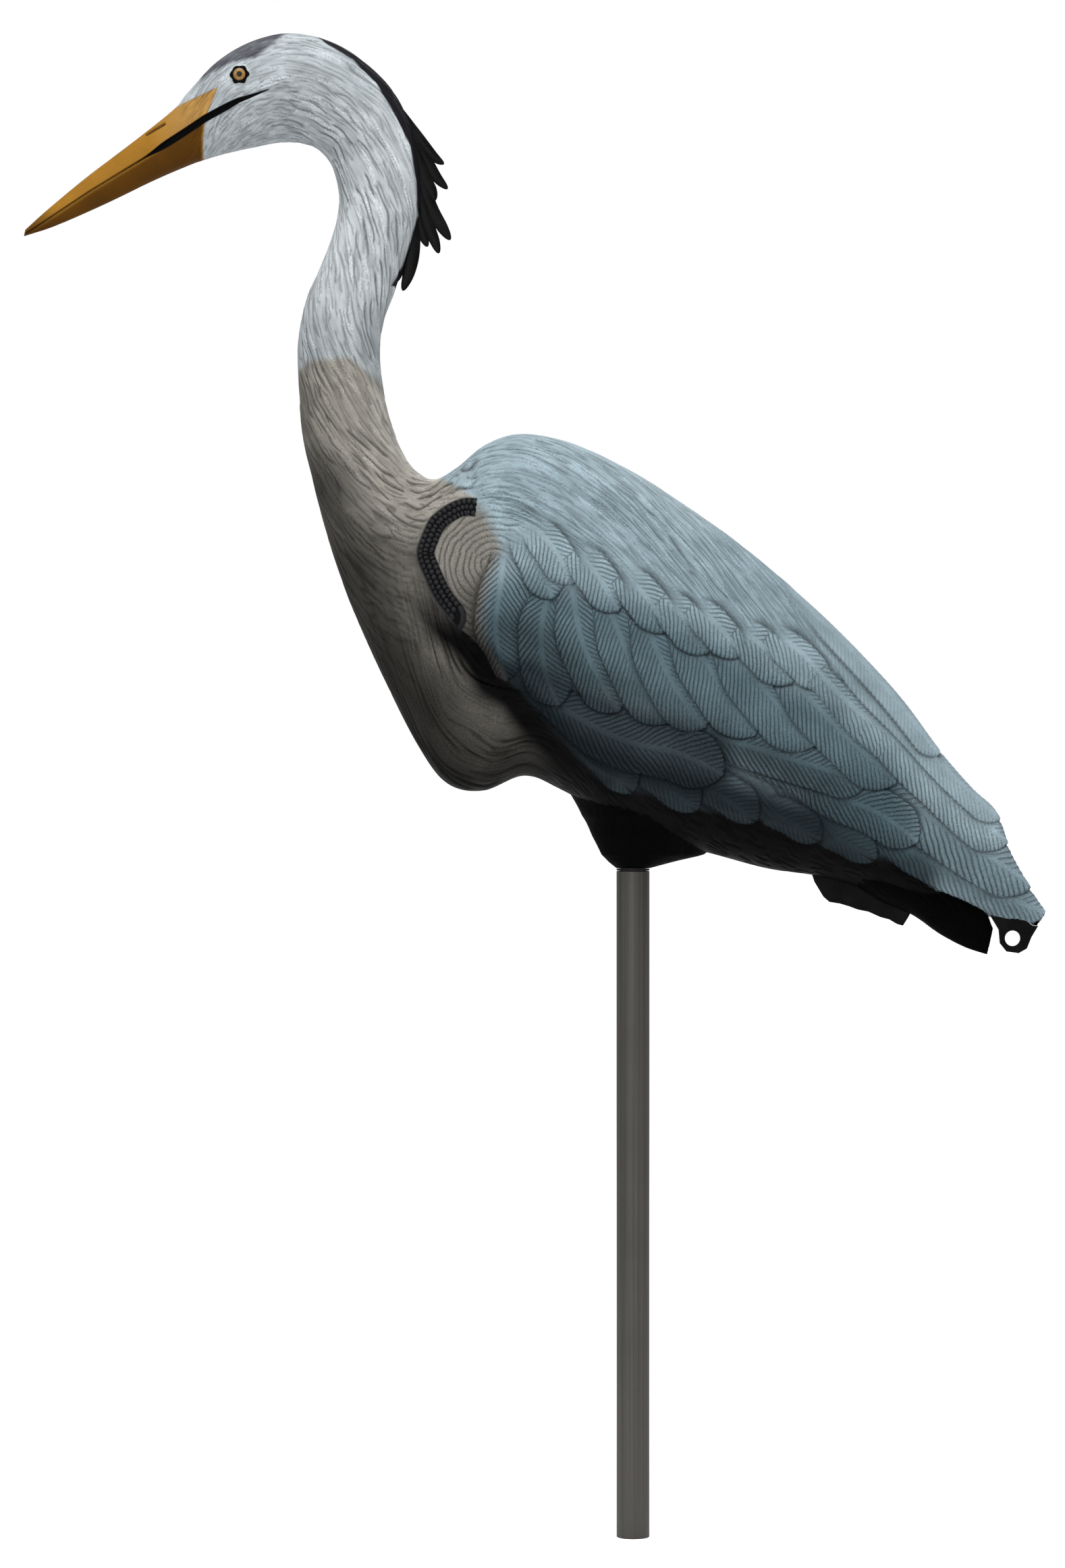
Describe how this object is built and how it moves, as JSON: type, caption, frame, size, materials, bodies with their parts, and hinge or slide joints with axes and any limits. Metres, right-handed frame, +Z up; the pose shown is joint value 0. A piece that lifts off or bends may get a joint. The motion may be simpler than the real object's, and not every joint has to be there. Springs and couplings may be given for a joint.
{
  "type": "heron decoy",
  "caption": "Standing heron decoy of moulded plastic with folded wings, crest plumes and a tail eye, on a spigot that turns in a plain tubular pole.",
  "frame": {"origin": "centre of the pole's lower end face", "axes": "+Z up along the pole, the bill towards -X, the bird's left side towards -Y"},
  "size_m": [0.6805, 0.144, 1.0026],
  "materials": {
    "painted_shell": "satin paint on moulded plastic",
    "black_plastic": "satin",
    "eye": "gloss",
    "nylon": "smooth",
    "pole": "satin",
    "steel": "zinc plated"
  },
  "bodies": {
    "pole": {"pole_tube": "pole", "foot_plug": "black_plastic", "lower_bush": "nylon"},
    "swivel": {"swivel_bush": "nylon"},
    "bird": {"left_shell": "painted_shell", "right_shell": "painted_shell", "crest_plumes": "black_plastic", "tail_lug": "black_plastic", "left_eye": "eye", "right_eye": "eye", "leg_socket": "black_plastic", "spigot": "steel", "spigot_pin": "steel", "screw_head": "steel", "screw_nape": "steel", "screw_upper_neck": "steel", "screw_lower_neck": "steel", "screw_throat": "steel", "screw_breast": "steel", "screw_hump": "steel", "screw_back": "steel", "screw_rump": "steel", "screw_belly": "steel", "screw_tail": "steel", "screw_lug": "steel", "socket_screw_lower_front": "steel", "socket_screw_lower_rear": "steel", "socket_screw_upper_front": "steel", "socket_screw_upper_rear": "steel"}
  },
  "joints": [
    {"name": "body_swivel", "type": "hinge", "parent": "pole", "child": "swivel", "pos_m": [0, 0, 0.4443], "axis": [0, 0, 1], "continuous": true},
    {"name": "body_lift", "type": "slide", "parent": "swivel", "child": "bird", "axis": [0, 0, 1], "range_m": [0, 0.12]}
  ]
}
